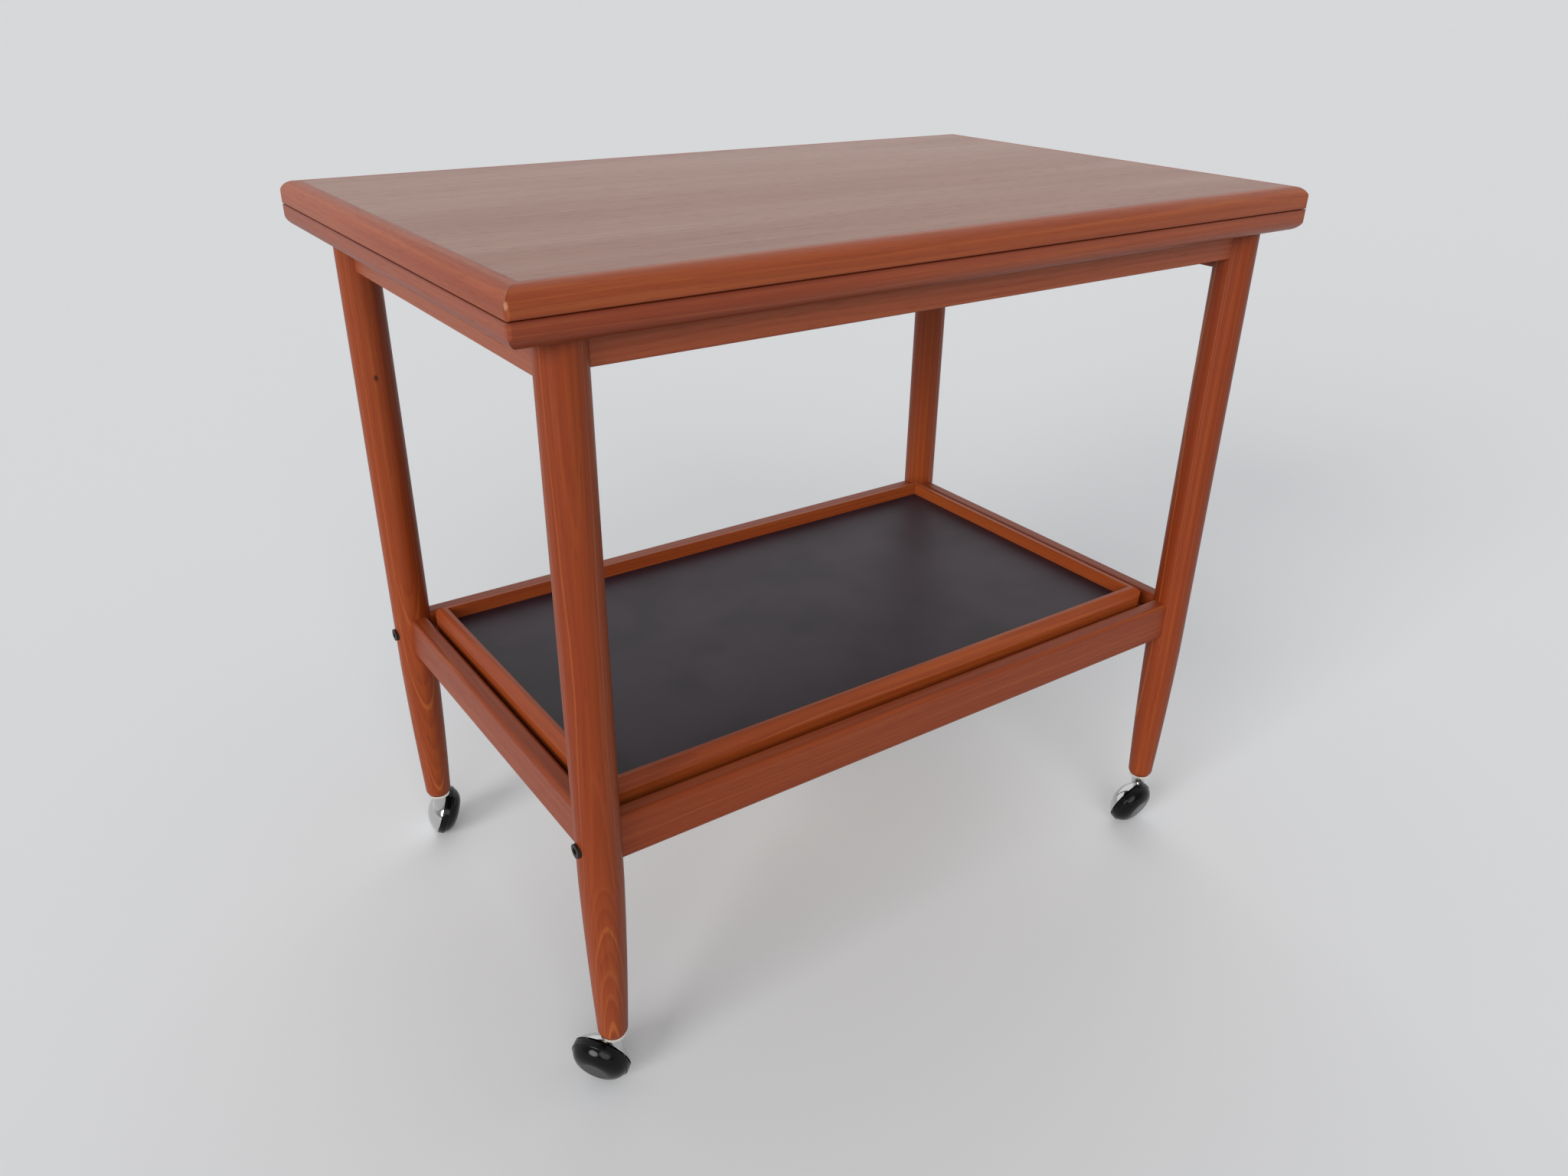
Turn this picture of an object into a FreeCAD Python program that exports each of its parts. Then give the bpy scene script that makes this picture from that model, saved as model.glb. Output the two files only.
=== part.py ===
import FreeCAD, Part
import math
import os

# Tea trolley with a fold-over top that turns on its frame, a lift-out tray and four hooded castors.
# Millimetres. X is the length of the top, Y the width with the hinges at +Y, Z up.
# The origin lies on the floor below the middle of the frame.

# Folding top: two equal leaves with mitred lippings
top_length = 700.0
top_width = 435.0
top_height = 637.0
leaf_thickness = 17.0
leaf_joint_gap = 0.5
leaf_glide_gap = 0.4
lipping_width = 14.0
leaf_edge_round = 10.5
leaf_inner_arris = 1.2
leaf_corner_round = 3.0

# Frame: round legs, aprons under the top and rails round the tray
leg_inset_length = 42.5
leg_inset_width = 30.25
leg_diameter = 33.0
leg_taper_start = 205.0
leg_taper_swell = 0.6
leg_foot_diameter = 23.6
leg_foot_height = 55.0
leg_foot_round = 4.5
rail_thickness = 16.0
rail_outset = 6.3
rail_arris_round = 4.0
long_apron_depth = 21.0
end_apron_depth = 31.5
apron_arris_round = 1.5
lower_rail_depth = 37.0
lower_rail_middle = 240.0
tenon_thickness = 7.0
tenon_length = 9.0
tenon_shoulder = 5.0
joint_fit = 0.05

# Knock-down bolts through the legs into the long lower rails
bolt_diameter = 6.0
bolt_head_diameter = 11.0
bolt_head_height = 4.5
bolt_key_width = 5.0
bolt_key_depth = 2.5
bolt_seat_depth = 2.5
bolt_hole_room = 0.2
barrel_nut_diameter = 10.0
barrel_nut_length = 16.0
barrel_nut_setback = 34.0
bolt_tip_reach = 9.0

# Lift-out tray on four bearers
tray_room_length = 17.6
tray_room_width = 18.1
tray_shift_length = -5.0
tray_shift_width = -3.0
tray_underside = 246.0
tray_rim_height = 24.0
tray_rim_width = 10.5
tray_rim_top_width = 3.6
tray_rim_foot_inset = 2.5
tray_rim_belly_height = 10.0
tray_recess_depth = 12.5
tray_board_thickness = 5.0
tray_laminate_thickness = 0.9
tray_groove_depth = 4.0
tray_corner_round = 8.0
tray_rest_gap = 0.3
bearer_width = 20.0
bearer_depth = 14.0
bearer_end_room = 4.0

# Turning pivot of the top, a quarter of the leaf width from both middle lines
pivot_rail_width = 60.0
pivot_rail_thickness = 20.0
pivot_plate_side = 70.0
pivot_plate_thickness = 3.0
pivot_bolt_diameter = 10.0
pivot_running_fit = 0.06
pivot_washer_diameter = 24.0
pivot_washer_thickness = 2.0
pivot_nut_width = 17.0
pivot_nut_height = 8.0
pivot_bolt_tail = 2.5
pivot_axial_gap = 0.3

# Butt hinges let into the back edges of the two leaves
hinge_spacing = 260.0
hinge_length = 50.0
hinge_plate_height = 12.0
hinge_plate_thickness = 1.4
hinge_plate_sink = 0.2
hinge_knuckle_diameter = 5.5
hinge_knuckle_gap = 0.3
hinge_pin_diameter = 2.6
hinge_running_fit = 0.05
hinge_edge_gap = 0.3
hinge_recess_room = 0.4

# Hooded castors with one tilted wheel
wheel_diameter = 48.4
wheel_rim_width = 6.5
wheel_depth = 15.5
wheel_inner_setback = 2.0
wheel_face_diameter = 22.0
wheel_edge_round = 1.2
wheel_shoulder_swell = 1.5
wheel_tilt = 19.5
wheel_bore_end_wall = 2.5
castor_trail = 11.5
castor_offset = 1.3
hood_diameter = 48.0
hood_depth = 13.0
hood_wall = 1.4
hood_wheel_gap = 0.8
hood_floor_room = 4.0
hood_boss_diameter = 12.0
axle_diameter = 6.0
axle_running_fit = 0.05
axle_end_gap = 0.5
neck_diameter = 13.0
stem_diameter = 8.0
stem_length = 44.0
stem_running_fit = 0.05
socket_diameter = 11.0
socket_length = 38.0
socket_end_room = 2.0
collar_diameter = 20.0
collar_thickness = 2.5
collar_gap = 0.4

# Directions in which the wheels face, degrees from +X, as the trolley stands.
# The castors at the back are mirror images of those in front.
castor_headings = {
    "front_left": 215.0,
    "front_right": 274.0,
    "back_left": -23.0,
    "back_right": -38.0,
}

# Sides of the frame that each corner belongs to
corner_signs = {
    "front_left": (-1, -1),
    "front_right": (1, -1),
    "back_left": (-1, 1),
    "back_right": (1, 1),
}

# Levels and faces worked out from the sizes above
lower_leaf_bottom = top_height - 2 * leaf_thickness - leaf_joint_gap
upper_leaf_bottom = top_height - leaf_thickness
joint_middle = upper_leaf_bottom - leaf_joint_gap / 2
frame_top = lower_leaf_bottom - leaf_glide_gap
leg_x = top_length / 2 - leg_inset_length
leg_y = top_width / 2 - leg_inset_width
leg_radius = leg_diameter / 2
rail_face_x = leg_x + rail_outset
rail_face_y = leg_y + rail_outset
rail_back_x = rail_face_x - rail_thickness
rail_back_y = rail_face_y - rail_thickness
lower_rail_bottom = lower_rail_middle - lower_rail_depth / 2
lower_rail_top = lower_rail_middle + lower_rail_depth / 2
tray_length = 2 * rail_back_x - tray_room_length
tray_width = 2 * rail_back_y - tray_room_width
hinge_axis_y = top_width / 2 + hinge_edge_gap
pivot_x = -top_width / 4
pivot_y = top_width / 4

Vector = FreeCAD.Vector
along_x = Vector(1, 0, 0)
along_y = Vector(0, 1, 0)
along_z = Vector(0, 0, 1)


def block(x0, x1, y0, y1, z0, z1):
    return Part.makeBox(x1 - x0, y1 - y0, z1 - z0, Vector(x0, y0, z0))


def rod(diameter, start, direction, length):
    return Part.makeCylinder(diameter / 2, length, start, direction)


def tube(outer, inner, start, direction, length):
    return rod(outer, start, direction, length).cut(rod(inner, start, direction, length))


def line(a, b):
    return Part.LineSegment(Vector(*a), Vector(*b)).toShape()


def arc(a, middle, b):
    return Part.Arc(Vector(*a), Vector(*middle), Vector(*b)).toShape()


def face_of(edges):
    return Part.Face(Part.Wire(edges))


def turned(shape, degrees):
    copy = shape.copy()
    copy.rotate(Vector(0, 0, 0), along_z, degrees)
    return copy


def moved(shape, x, y, z):
    copy = shape.copy()
    copy.translate(Vector(x, y, z))
    return copy


def rounded_plate(length, width, radius, z0, height):
    plate = block(-length / 2, length / 2, -width / 2, width / 2, z0, z0 + height)
    upright = [edge for edge in plate.Edges if abs(edge.BoundBox.ZLength - height) < 1e-6]
    return plate.makeFillet(radius, upright)


def hexagon_bar(across_flats, start, direction, length):
    corner = across_flats / math.sqrt(3)
    corners = []
    for step in range(7):
        angle = math.radians(60 * step)
        corners.append(Vector(corner * math.cos(angle), corner * math.sin(angle), 0))
    bar = Part.Face(Part.makePolygon(corners)).extrude(Vector(0, 0, length))
    bar.Placement = FreeCAD.Placement(start, FreeCAD.Rotation(along_z, direction))
    return bar


def write(name, shape):
    if shape.ShapeType == "Compound" and len(shape.Solids) == 1:
        shape = shape.Solids[0]
    shape.exportStep("parts/" + name + ".step")


# Four mitred bars round a rectangle, each with its outer face on the rectangle's edge.
# The section is drawn in the plane X = 0 with Y inwards from the outer face.
def mitred_frame(length, width, section, bar_width, corner_round):
    bottom = section.BoundBox.ZMin
    height = section.BoundBox.ZLength
    outline = rounded_plate(length, width, corner_round, bottom, height)
    bars = {}
    sides = (("front", length, width, 0), ("right", width, length, 90),
             ("back", length, width, 180), ("left", width, length, -90))
    for side, run, across, heading in sides:
        bar = moved(section, -run / 2, -across / 2, 0).extrude(Vector(run, 0, 0))
        plan = [(-run / 2, -across / 2), (run / 2, -across / 2),
                (run / 2 - bar_width, -across / 2 + bar_width),
                (-run / 2 + bar_width, -across / 2 + bar_width)]
        corners = [Vector(x, y, bottom) for x, y in plan + plan[:1]]
        mitre = Part.Face(Part.makePolygon(corners)).extrude(Vector(0, 0, height))
        bars[side] = turned(bar.common(mitre), heading).common(outline)
    return bars


# Folding top

def lipping_section(bottom, rounded_side):
    outer = leaf_edge_round
    small = leaf_inner_arris
    bend = 1 - math.sqrt(0.5)
    points = [(0, outer), (bend * outer, bend * outer), (outer, 0), (lipping_width, 0),
              (lipping_width, leaf_thickness), (small, leaf_thickness),
              (bend * small, leaf_thickness - bend * small), (0, leaf_thickness - small)]
    placed = []
    for inward, rise in points:
        level = bottom + rise if rounded_side == "below" else bottom + leaf_thickness - rise
        placed.append((0, inward, level))
    edges = [arc(*placed[0:3]), line(placed[2], placed[3]), line(placed[3], placed[4]),
             line(placed[4], placed[5]), arc(*placed[5:8]), line(placed[7], placed[0])]
    return face_of(edges)


def hinge_middles():
    return [step * hinge_spacing for step in (-1, 0, 1)]


def hinge_room(side):
    reach = hinge_plate_height + hinge_recess_room
    depth = hinge_plate_thickness + hinge_plate_sink
    rooms = []
    for x in hinge_middles():
        half = hinge_length / 2 + hinge_recess_room
        way = -1 if side == "lower" else 1
        low, high = sorted((joint_middle, joint_middle + way * reach))
        rooms.append(block(x - half, x + half, top_width / 2 - depth, top_width / 2 + depth, low, high))
        start = Vector(x - half, hinge_axis_y, joint_middle)
        rooms.append(rod(hinge_knuckle_diameter + 2 * hinge_recess_room, start, along_x, 2 * half))
    return Part.makeCompound(rooms)


def make_leaf(name, bottom, rounded_side, hinge_side):
    inner_length = top_length - 2 * lipping_width
    inner_width = top_width - 2 * lipping_width
    panel = block(-inner_length / 2, inner_length / 2, -inner_width / 2, inner_width / 2,
                  bottom, bottom + leaf_thickness)
    section = lipping_section(bottom, rounded_side)
    bars = mitred_frame(top_length, top_width, section, lipping_width, leaf_corner_round)
    bars["back"] = bars["back"].cut(hinge_room(hinge_side))
    for side, bar in bars.items():
        write(name + "_lipping_" + side, bar)
    return panel


def make_top():
    upper = make_leaf("upper_leaf", upper_leaf_bottom, "above", "upper")
    write("upper_leaf_panel", upper)
    lower = make_leaf("lower_leaf", lower_leaf_bottom, "below", "lower")
    half = pivot_plate_side / 2 + joint_fit
    pocket = block(pivot_x - half, pivot_x + half, pivot_y - half, pivot_y + half,
                   lower_leaf_bottom, lower_leaf_bottom + pivot_plate_thickness + joint_fit)
    write("lower_leaf_panel", lower.cut(pocket))


# Each hinge has two knuckles on the lower plate and one long knuckle on the upper plate
def make_hinges():
    knuckle = hinge_length / 3
    bore = hinge_pin_diameter + 2 * hinge_running_fit
    plate_face = top_width / 2 - hinge_plate_sink
    plate_back = plate_face - hinge_plate_thickness
    lower_plates = []
    upper_plates = []
    pins = []
    for x in hinge_middles():
        left = x - hinge_length / 2
        hole = rod(bore, Vector(left, hinge_axis_y, joint_middle), along_x, hinge_length)
        own = {"lower": [(0, 1), (2, 3)], "upper": [(1, 2)]}
        for side, spans in own.items():
            way = -1 if side == "lower" else 1
            levels = sorted((joint_middle, joint_middle + way * hinge_plate_height))
            plate = block(left, left + hinge_length, plate_back, plate_face, *levels)
            barrels = []
            for first, last in spans:
                start = left + first * knuckle + (hinge_knuckle_gap / 2 if first else 0)
                end = left + last * knuckle - (hinge_knuckle_gap / 2 if last < 3 else 0)
                barrels.append(rod(hinge_knuckle_diameter, Vector(start, hinge_axis_y, joint_middle),
                                   along_x, end - start))
            others = own["upper" if side == "lower" else "lower"]
            for first, last in others:
                start = left + first * knuckle - hinge_knuckle_gap / 2
                length = (last - first) * knuckle + hinge_knuckle_gap
                room = hinge_knuckle_diameter + 2 * hinge_recess_room
                plate = plate.cut(rod(room, Vector(start, hinge_axis_y, joint_middle), along_x, length))
            solid = plate.multiFuse(barrels).cut(hole)
            (lower_plates if side == "lower" else upper_plates).append(solid)
        pins.append(rod(hinge_pin_diameter, Vector(left, hinge_axis_y, joint_middle), along_x, hinge_length))
    write("hinge_plates_lower", Part.makeCompound(lower_plates))
    write("hinge_plates_upper", Part.makeCompound(upper_plates))
    write("hinge_pins", Part.makeCompound(pins))


def make_pivot():
    rail_bottom = frame_top - pivot_rail_thickness
    rail = block(pivot_x - pivot_rail_width / 2, pivot_x + pivot_rail_width / 2,
                 -rail_back_y, rail_back_y, rail_bottom, frame_top)
    start = Vector(pivot_x, pivot_y, rail_bottom)
    bore = rod(pivot_bolt_diameter + 2 * pivot_running_fit, start, along_z, pivot_rail_thickness)
    write("pivot_rail", rail.cut(bore))

    half = pivot_plate_side / 2
    plate_top = lower_leaf_bottom + pivot_plate_thickness
    plate = block(pivot_x - half, pivot_x + half, pivot_y - half, pivot_y + half,
                  lower_leaf_bottom, plate_top)
    plate_hole = rod(pivot_bolt_diameter + 2 * joint_fit, Vector(pivot_x, pivot_y, lower_leaf_bottom),
                     along_z, pivot_plate_thickness)
    write("pivot_plate", plate.cut(plate_hole))

    washer_bottom = rail_bottom - pivot_axial_gap - pivot_washer_thickness
    nut_bottom = washer_bottom - pivot_nut_height
    bolt_bottom = nut_bottom - pivot_bolt_tail
    threaded = pivot_bolt_diameter + 2 * joint_fit
    write("pivot_washer", tube(pivot_washer_diameter, threaded, Vector(pivot_x, pivot_y, washer_bottom),
                               along_z, pivot_washer_thickness))
    nut_start = Vector(pivot_x, pivot_y, nut_bottom)
    nut = hexagon_bar(pivot_nut_width, nut_start, along_z, pivot_nut_height)
    write("pivot_nut", nut.cut(rod(threaded, nut_start, along_z, pivot_nut_height)))
    write("pivot_bolt", rod(pivot_bolt_diameter, Vector(pivot_x, pivot_y, bolt_bottom),
                            along_z, plate_top - bolt_bottom))


# Frame

def leg_solid():
    foot = leg_foot_diameter / 2
    low = leg_foot_height
    bend = leg_foot_round * (1 - math.sqrt(0.5))
    middle_radius = (foot + leg_radius) / 2 + leg_taper_swell
    middle_height = (low + leg_foot_round + leg_taper_start) / 2
    edges = [
        line((0, 0, low), (foot - leg_foot_round, 0, low)),
        arc((foot - leg_foot_round, 0, low), (foot - bend, 0, low + bend), (foot, 0, low + leg_foot_round)),
        arc((foot, 0, low + leg_foot_round), (middle_radius, 0, middle_height),
            (leg_radius, 0, leg_taper_start)),
        line((leg_radius, 0, leg_taper_start), (leg_radius, 0, frame_top)),
        line((leg_radius, 0, frame_top), (0, 0, frame_top)),
        line((0, 0, frame_top), (0, 0, low)),
    ]
    leg = face_of(edges).revolve(Vector(0, 0, 0), along_z, 360)
    return Part.Solid(leg) if leg.ShapeType == "Shell" else leg


# A straight bar between two legs, shaped to their round sides, with a tenon at each end if it is glued in.
# It is drawn along X with its outer face towards -Y.
def bar_between_legs(spacing, across, bottom, depth, arris, tenoned):
    face = -(across / 2 + rail_outset)
    half = spacing / 2
    bar = block(-half, half, face, face + rail_thickness, bottom, bottom + depth)
    long_edges = [edge for edge in bar.Edges if abs(edge.BoundBox.XLength - spacing) < 1e-6]
    bar = bar.makeFillet(arris, long_edges)
    for way in (-1, 1):
        start = Vector(way * half, -across / 2, bottom)
        bar = bar.cut(rod(leg_diameter + 2 * joint_fit, start, along_z, depth))
    if tenoned:
        reach = half - leg_radius + tenon_length
        middle = face + rail_thickness / 2
        tenon = block(-reach, reach, middle - tenon_thickness / 2, middle + tenon_thickness / 2,
                      bottom + tenon_shoulder, bottom + depth - tenon_shoulder)
        bar = bar.fuse(tenon).removeSplitter()
    return bar


def mortise(spacing, across, bottom, depth):
    room = joint_fit
    reach = spacing / 2 - leg_radius + tenon_length + room
    middle = -(across / 2 + rail_outset) + rail_thickness / 2
    half = tenon_thickness / 2 + room
    return block(-reach, reach, middle - half, middle + half,
                 bottom + tenon_shoulder - room, bottom + depth - tenon_shoulder + room)


def bolt_cuts(way_x, way_y, clearance):
    outer = leg_x + leg_radius - bolt_seat_depth
    tip = leg_x - leg_radius - barrel_nut_setback - bolt_tip_reach
    shank = rod(bolt_diameter + clearance, Vector(way_x * tip, way_y * leg_y, lower_rail_middle),
                Vector(way_x, 0, 0), outer - tip)
    head = rod(bolt_head_diameter + clearance, Vector(way_x * outer, way_y * leg_y, lower_rail_middle),
               Vector(way_x, 0, 0), bolt_head_height)
    return shank.fuse(head)


def make_frame():
    levels = {
        "long_apron": (frame_top - long_apron_depth, long_apron_depth, apron_arris_round, True),
        "end_apron": (frame_top - end_apron_depth, end_apron_depth, apron_arris_round, True),
        "long_rail": (lower_rail_bottom, lower_rail_depth, rail_arris_round, False),
        "end_rail": (lower_rail_bottom, lower_rail_depth, rail_arris_round, True),
    }
    mortises = []
    bars = {}
    for kind, (bottom, depth, arris, tenoned) in levels.items():
        is_long = kind.startswith("long")
        spacing, across = (2 * leg_x, 2 * leg_y) if is_long else (2 * leg_y, 2 * leg_x)
        bar = bar_between_legs(spacing, across, bottom, depth, arris, tenoned)
        sides = (("front", 0), ("back", 180)) if is_long else (("left", -90), ("right", 90))
        name = "apron" if kind.endswith("apron") else "lower_rail"
        for side, heading in sides:
            bars[name + "_" + side] = turned(bar, heading)
            if tenoned:
                mortises.append(turned(mortise(spacing, across, bottom, depth), heading))

    bolts = []
    nuts = []
    cuts = []
    for way_x, way_y in corner_signs.values():
        nut_x = way_x * (leg_x - leg_radius - barrel_nut_setback)
        nut_start = Vector(nut_x, way_y * leg_y, lower_rail_middle - barrel_nut_length / 2)
        key_start = Vector(way_x * (leg_x + leg_radius - bolt_seat_depth + bolt_head_height - bolt_key_depth),
                           way_y * leg_y, lower_rail_middle)
        key = hexagon_bar(bolt_key_width, key_start, Vector(way_x, 0, 0), bolt_key_depth)
        bolts.append(bolt_cuts(way_x, way_y, 0).cut(key))
        nuts.append(rod(barrel_nut_diameter, nut_start, along_z, barrel_nut_length)
                    .cut(bolt_cuts(way_x, way_y, 2 * joint_fit)))
        nut_bore = rod(barrel_nut_diameter + 2 * joint_fit,
                       Vector(nut_x, way_y * leg_y, lower_rail_bottom), along_z,
                       lower_rail_depth / 2 + barrel_nut_length / 2)
        cuts.append(bolt_cuts(way_x, way_y, 2 * bolt_hole_room))
        cuts.append(nut_bore)
    bolt_room = Part.makeCompound(cuts)
    for side in ("front", "back"):
        bars["lower_rail_" + side] = bars["lower_rail_" + side].cut(bolt_room)
    for name, bar in bars.items():
        write(name, bar)
    write("frame_bolts", Part.makeCompound(bolts))
    write("barrel_nuts", Part.makeCompound(nuts))

    tenon_room = Part.makeCompound(mortises)
    plain_leg = leg_solid()
    socket_bore = rod(socket_diameter + 2 * joint_fit, Vector(0, 0, leg_foot_height), along_z,
                      socket_length + socket_end_room)
    sockets = []
    for corner, (way_x, way_y) in corner_signs.items():
        leg = moved(plain_leg.cut(socket_bore), way_x * leg_x, way_y * leg_y, 0)
        write("leg_" + corner, leg.cut(tenon_room).cut(bolt_room))
        sockets.append(moved(castor_socket(), way_x * leg_x, way_y * leg_y, 0))
    write("castor_sockets", Part.makeCompound(sockets))

    bearer_top = tray_underside - tray_rest_gap
    bearer_half = rail_back_x - bearer_end_room
    for side, way in (("front", -1), ("back", 1)):
        near, far = sorted((way * rail_back_y, way * (rail_back_y - bearer_width)))
        bearer = block(-bearer_half, bearer_half, near, far, bearer_top - bearer_depth, bearer_top)
        for way_x in (-1, 1):
            start = Vector(way_x * leg_x, way * leg_y, bearer_top - bearer_depth)
            bearer = bearer.cut(rod(leg_diameter + 2 * joint_fit, start, along_z, bearer_depth))
        write("tray_bearer_" + side, bearer)
    end_bearer_half = rail_back_y - bearer_width
    for side, way in (("left", -1), ("right", 1)):
        near, far = sorted((way * rail_back_x, way * (rail_back_x - bearer_width)))
        write("tray_bearer_" + side, block(near, far, -end_bearer_half, end_bearer_half,
                                           bearer_top - bearer_depth, bearer_top))


# Tray: rounded mitred rim, a board in the rim's groove and a thin hard face on the board

def tray_rim_section():
    low = tray_underside
    top = low + tray_rim_height
    belly = low + tray_rim_belly_height
    foot = tray_rim_foot_inset
    wide = tray_rim_width
    crest = wide - tray_rim_top_width
    face = low + tray_rim_height - tray_recess_depth
    board_top = face - tray_laminate_thickness
    board_bottom = board_top - tray_board_thickness
    groove = wide - tray_groove_depth
    bend = math.sqrt(0.5)
    points = [
        (0, foot, low), (0, wide, low), (0, wide, board_bottom), (0, groove, board_bottom),
        (0, groove, board_top), (0, wide, board_top), (0, wide, top), (0, crest, top),
    ]
    edges = [line(a, b) for a, b in zip(points, points[1:])]
    upper_bend = (0, crest * (1 - bend), belly + (top - belly) * bend)
    lower_bend = (0, foot * (1 - bend), belly - (belly - low) * bend)
    edges.append(arc((0, crest, top), upper_bend, (0, 0, belly)))
    edges.append(arc((0, 0, belly), lower_bend, (0, foot, low)))
    return face_of(edges)


def make_tray():
    bars = mitred_frame(tray_length, tray_width, tray_rim_section(), tray_rim_width, tray_corner_round)
    for side, bar in bars.items():
        write("tray_rim_" + side, moved(bar, tray_shift_length, tray_shift_width, 0))
    face = tray_underside + tray_rim_height - tray_recess_depth
    board_top = face - tray_laminate_thickness
    inner_length = tray_length - 2 * tray_rim_width
    inner_width = tray_width - 2 * tray_rim_width
    tongue = tray_groove_depth - joint_fit
    board = block(-inner_length / 2 - tongue, inner_length / 2 + tongue,
                  -inner_width / 2 - tongue, inner_width / 2 + tongue,
                  board_top - tray_board_thickness, board_top)
    write("tray_board", moved(board, tray_shift_length, tray_shift_width, 0))
    facing = block(-inner_length / 2, inner_length / 2, -inner_width / 2, inner_width / 2, board_top, face)
    write("tray_facing", moved(facing, tray_shift_length, tray_shift_width, 0))


# Castors. Wheel and hood are drawn round Z, outer face of the wheel upwards, and then tilted.

def castor_socket():
    collar_bottom = leg_foot_height - collar_thickness
    bore = stem_diameter + 2 * stem_running_fit
    collar = rod(collar_diameter, Vector(0, 0, collar_bottom), along_z, collar_thickness)
    sleeve = rod(socket_diameter, Vector(0, 0, leg_foot_height), along_z, socket_length)
    hole = rod(bore, Vector(0, 0, collar_bottom), along_z, collar_thickness + socket_length)
    return collar.fuse(sleeve).cut(hole).removeSplitter()


wheel_inner = -wheel_inner_setback
wheel_rim_end = wheel_inner + wheel_rim_width
wheel_outer = wheel_inner + wheel_depth
hood_rim = wheel_inner - hood_wheel_gap
tilt = math.radians(wheel_tilt)


def wheel_outline():
    rim = wheel_diameter / 2
    face = wheel_face_diameter / 2
    soft = wheel_edge_round
    bend = soft * (1 - math.sqrt(0.5))
    shoulder_radius = (rim - soft + face) / 2 + wheel_shoulder_swell
    shoulder_level = (wheel_rim_end + wheel_outer) / 2 + wheel_shoulder_swell
    return Part.Wire([
        line((0, 0, wheel_inner), (rim - soft, 0, wheel_inner)),
        arc((rim - soft, 0, wheel_inner), (rim - bend, 0, wheel_inner + bend), (rim, 0, wheel_inner + soft)),
        line((rim, 0, wheel_inner + soft), (rim, 0, wheel_rim_end - soft)),
        arc((rim, 0, wheel_rim_end - soft), (rim - bend, 0, wheel_rim_end - bend),
            (rim - soft, 0, wheel_rim_end)),
        arc((rim - soft, 0, wheel_rim_end), (shoulder_radius, 0, shoulder_level), (face, 0, wheel_outer)),
        line((face, 0, wheel_outer), (0, 0, wheel_outer)),
        line((0, 0, wheel_outer), (0, 0, wheel_inner)),
    ])


# The tilted wheel's lowest point rests on the floor, which sets the height of its middle
wheel_height = max(math.sin(tilt) * point.z + math.cos(tilt) * point.x
                   for point in wheel_outline().discretize(2000))


def wheel_solid():
    wheel = Part.Face(wheel_outline()).revolve(Vector(0, 0, 0), along_z, 360)
    wheel = Part.Solid(wheel) if wheel.ShapeType == "Shell" else wheel
    bore = axle_diameter + 2 * axle_running_fit
    bore_length = wheel_depth - wheel_bore_end_wall
    return wheel.cut(rod(bore, Vector(0, 0, wheel_inner), along_z, bore_length))


def dome(rim_radius, depth, rim_level):
    ball = (rim_radius ** 2 + depth ** 2) / (2 * depth)
    middle = rim_level - depth + ball
    lean = math.asin(rim_radius / ball) / 2
    edges = [
        line((0, 0, rim_level), (rim_radius, 0, rim_level)),
        arc((rim_radius, 0, rim_level), (ball * math.sin(lean), 0, middle - ball * math.cos(lean)),
            (0, 0, rim_level - depth)),
        line((0, 0, rim_level - depth), (0, 0, rim_level)),
    ]
    solid = face_of(edges).revolve(Vector(0, 0, 0), along_z, 360)
    return Part.Solid(solid) if solid.ShapeType == "Shell" else solid


def tilted(shape):
    copy = shape.copy()
    copy.rotate(Vector(0, 0, 0), along_y, 90 + wheel_tilt)
    copy.translate(Vector(castor_offset, -castor_trail, wheel_height))
    return copy


def make_castors():
    neck_top = leg_foot_height - collar_thickness - collar_gap
    hood_radius = hood_diameter / 2
    outer = tilted(dome(hood_radius, hood_depth, hood_rim))
    inner = tilted(dome(hood_radius - hood_wall, hood_depth - hood_wall, hood_rim))
    neck = rod(neck_diameter, Vector(0, 0, wheel_height), along_z, neck_top - wheel_height)
    axle_foot = hood_rim - hood_depth + hood_wall
    boss = rod(hood_boss_diameter, Vector(0, 0, axle_foot), along_z, hood_rim - axle_foot)
    boss = tilted(boss).common(outer)
    wheel_room = rod(wheel_diameter + 2 * hood_wheel_gap, Vector(0, 0, hood_rim), along_z, hood_diameter)
    wheel_room = tilted(wheel_room)
    reach = hood_diameter
    floor_room = block(-reach, reach, -reach, reach, -hood_depth, hood_floor_room)
    stem_bottom = neck_top - (stem_length - socket_length)
    shell = outer.cut(inner)
    hood = shell.fuse(neck.cut(outer).cut(wheel_room)).fuse(boss).cut(floor_room)
    axle_tip = wheel_outer - wheel_bore_end_wall - axle_end_gap
    axle = tilted(rod(axle_diameter, Vector(0, 0, axle_foot), along_z, axle_tip - axle_foot))
    stem = rod(stem_diameter, Vector(0, 0, stem_bottom), along_z, stem_length)
    pieces = {
        "hood": hood.cut(axle).cut(stem).removeSplitter(),
        "axle": axle,
        "stem": stem,
        "wheel": tilted(wheel_solid()),
    }
    for corner, (way_x, way_y) in corner_signs.items():
        for piece, shape in pieces.items():
            if way_y > 0:
                shape = shape.mirror(Vector(0, 0, 0), along_y)
            place = moved(turned(shape, castor_headings[corner]), way_x * leg_x, way_y * leg_y, 0)
            write("castor_" + piece + "_" + corner, place)


os.makedirs("parts", exist_ok=True)
make_top()
make_hinges()
make_pivot()
make_frame()
make_tray()
make_castors()
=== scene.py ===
import math
from itertools import count
import bpy
from mathutils import Matrix, Vector


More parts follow.
